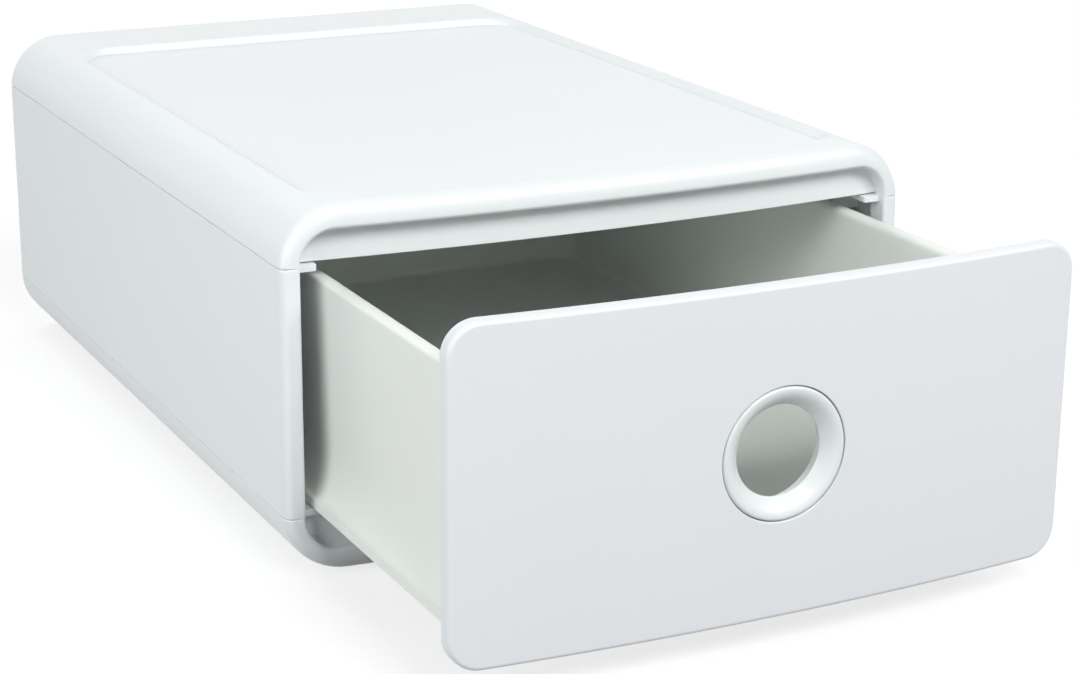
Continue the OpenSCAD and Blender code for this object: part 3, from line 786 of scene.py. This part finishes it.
def plastic(name, colour, rough, tint=0.008, grain=700.0, grain_depth=0.004):
    """Moulded plastic: faint mottling in its colour, gloss that wanders and is a little higher on handled
    edges, and a fine grain over slight waves. Its roughness stays within -0.035 and +0.03 of rough."""
    mat = bpy.data.materials.new(name)
    mat.use_nodes = True
    tree = mat.node_tree
    shader = tree.nodes["Principled BSDF"]
    shader.inputs["IOR"].default_value = 1.49
    place = tree.nodes.new("ShaderNodeTexCoord").outputs["Object"]

    def noise(scale, detail):
        return add_node(tree, "ShaderNodeTexNoise",
                        {"Vector": place, "Scale": scale, "Detail": detail}).outputs["Fac"]

    def spread(value, low, high, to_low, to_high):
        node = add_node(tree, "ShaderNodeMapRange", {"Value": value, "From Min": low, "From Max": high,
                                                     "To Min": to_low, "To Max": to_high})
        node.interpolation_type = "SMOOTHSTEP"
        return node.outputs["Result"]

    def bumped(height, height_mm, **below):
        return add_node(tree, "ShaderNodeBump", {"Strength": 1.0, "Distance": height_mm * MM,
                                                 "Height": height, **below}).outputs["Normal"]

    mottle = add_node(tree, "ShaderNodeMixRGB", {
        "Fac": spread(noise(9.0, 2.0), 0.1, 0.9, 0.0, 1.0),
        "Color1": (*[c * (1 - tint) for c in colour], 1),
        "Color2": (*[min(c * (1 + tint), 1) for c in colour], 1)})
    tree.links.new(mottle.outputs["Color"], shader.inputs["Base Color"])

    handled = spread(tree.nodes.new("ShaderNodeNewGeometry").outputs["Pointiness"], 0.505, 0.53, 0.0, 1.0)
    gloss = spread(noise(24.0, 2.0), 0.1, 0.9, rough - 0.02, rough + 0.03)
    tree.links.new(maths(tree, "SUBTRACT", gloss, maths(tree, "MULTIPLY", handled, 0.015)),
                   shader.inputs["Roughness"])

    skin = bumped(noise(grain, 2.0), grain_depth)
    tree.links.new(bumped(noise(30.0, 1.0), 0.04, Normal=skin), shader.inputs["Normal"])
    return mat


def rubber(name):
    mat = plastic(name, (0.30, 0.30, 0.31), 0.75, tint=0.05, grain=900.0, grain_depth=0.05)
    mat.node_tree.nodes["Principled BSDF"].inputs["IOR"].default_value = 1.45
    return mat


def steel(name):
    mat = plastic(name, (0.62, 0.62, 0.60), 0.32, tint=0.05, grain=2600.0, grain_depth=0.006)
    mat.node_tree.nodes["Principled BSDF"].inputs["Metallic"].default_value = 1.0
    return mat


def dress(objects, material):
    for obj in objects:
        obj.data.materials.clear()
        obj.data.materials.append(material)


dress([casing_top, casing_base, casing_left, casing_right, cad["back_panel"]],
      plastic("casing_plastic", (0.808, 0.838, 0.848), 0.325))
dress([tub, webs], plastic("drawer_plastic", (0.822, 0.850, 0.812), 0.36, grain=600.0, grain_depth=0.008))
dress([plate], plastic("front_plastic", (0.79, 0.812, 0.83), 0.33))
dress([ring, cad["ring_collar"]], plastic("ring_plastic", (0.775, 0.815, 0.81), 0.32))
dress([cad[name] for name in cad if name.startswith("foot_")], rubber("pad_rubber"))
dress([cad["back_panel_screws"], cad["front_screws"]], steel("zinc_steel"))


# ---------------------------------------------------------------- stage, in metres
def seen_not_lighting(tree):
    """1 for rays that look at or mirror a thing, and 0 for the rays that light others with it."""
    path = tree.nodes.new("ShaderNodeLightPath").outputs
    either = maths(tree, "MAXIMUM", path["Is Camera Ray"], path["Is Glossy Ray"])
    return maths(tree, "MAXIMUM", either, path["Is Transmission Ray"])


def surface_of(tree, output, lighting, seen):
    """Lets one shader light the other things, and shows another to the camera and in mirrored views."""
    both = add_node(tree, "ShaderNodeMixShader", {0: seen_not_lighting(tree), 1: lighting.outputs[0],
                                                  2: seen.outputs[0]})
    tree.links.new(both.outputs[0], tree.nodes[output].inputs["Surface"])


FLOOR_HALF = 6.0
floor_mesh = bpy.data.meshes.new("floor")
floor_mesh.from_pydata([(x * FLOOR_HALF, y * FLOOR_HALF, 0) for x, y in ((-1, -1), (1, -1), (1, 1), (-1, 1))],
                       [], [(0, 1, 2, 3)])
floor = add_to_scene("floor", floor_mesh)
floor.location = (0, 0, -2.5 * MM)      # the underside of the pads

floor_mat = bpy.data.materials.new("floor")
floor_mat.use_nodes = True
tree = floor_mat.node_tree
tree.nodes.remove(tree.nodes["Principled BSDF"])
glow = add_node(tree, "ShaderNodeEmission", {"Color": (1, 1, 1, 1), "Strength": 0.76})
shade = add_node(tree, "ShaderNodeBsdfDiffuse", {"Color": (0.28, 0.28, 0.28, 1)})
surface_of(tree, "Material Output",
           add_node(tree, "ShaderNodeBsdfDiffuse", {"Color": (0.34, 0.345, 0.35, 1)}),
           add_node(tree, "ShaderNodeAddShader", {0: glow.outputs[0], 1: shade.outputs[0]}))
floor_mesh.materials.append(floor_mat)

world = bpy.data.worlds.new("studio")
bpy.context.scene.world = world
world.use_nodes = True
lit = world.node_tree.nodes["Background"]
lit.inputs["Color"].default_value = (0.94, 0.98, 1.0, 1)
lit.inputs["Strength"].default_value = 0.12
surface_of(world.node_tree, "World Output", lit,
           add_node(world.node_tree, "ShaderNodeBackground", {"Color": (1, 1, 1, 1), "Strength": 1.0}))


def softbox(name, location, target, size, power, colour=(1, 1, 1), mirrored=True):
    data = bpy.data.lights.new(name, "AREA")
    data.shape = "RECTANGLE"
    data.size = data.size_y = size
    data.energy = power
    data.color = colour
    obj = bpy.data.objects.new(name, data)
    obj.location = location
    obj.rotation_euler = (Vector(target) - Vector(location)).to_track_quat("-Z", "Y").to_euler()
    obj.visible_glossy = mirrored
    bpy.context.scene.collection.objects.link(obj)


DRAWER_MIDDLE = (0, -0.1, 0.07)
softbox("front", (0.000, -1.735, 1.542), DRAWER_MIDDLE, 0.8, 21.5)
softbox("front_right", (1.123, -1.537, 1.300), DRAWER_MIDDLE, 0.8, 17.5)
softbox("left_front", (-1.481, -0.928, 0.962), (0, -0.14, 0.07), 0.8, 10.0, (0.98, 1.0, 1.0))
softbox("left", (-1.205, -0.208, 0.299), (-0.13, -0.17, 0.07), 0.6, 4.0, (0.965, 1.0, 1.0))
softbox("rear", (-0.449, 1.575, 1.424), DRAWER_MIDDLE, 1.0, 13.5, mirrored=False)
softbox("rear_right", (1.225, 1.360, 1.170), DRAWER_MIDDLE, 1.0, 10.5, mirrored=False)

# ---------------------------------------------------------------- camera, in metres
AZIMUTH, ELEVATION, ROLL = math.radians(-26.745), math.radians(17.372), math.radians(0.446)
TARGET = Vector((0, -0.086, 0.060))
DISTANCE, SHIFT_RIGHT, SHIFT_UP = 1.04814, 0.01864, -0.0099
back = Vector((math.sin(AZIMUTH) * math.cos(ELEVATION),
               -math.cos(AZIMUTH) * math.cos(ELEVATION),
               math.sin(ELEVATION)))
level_right = (-back).cross(Vector((0, 0, 1))).normalized()
level_up = level_right.cross(-back)
right = math.cos(ROLL) * level_right + math.sin(ROLL) * level_up
up = -math.sin(ROLL) * level_right + math.cos(ROLL) * level_up
place = TARGET + back * DISTANCE + right * SHIFT_RIGHT + up * SHIFT_UP
camera_data = bpy.data.cameras.new("camera")
camera_data.lens = 81.257
camera_data.sensor_width = 36.0
camera_data.clip_start = 0.01
camera = add_to_scene("camera", camera_data)
camera.matrix_world = Matrix.Translation(place) @ Matrix((right, up, back)).transposed().to_4x4()
bpy.context.scene.camera = camera
bpy.context.scene.view_settings.view_transform = "Standard"
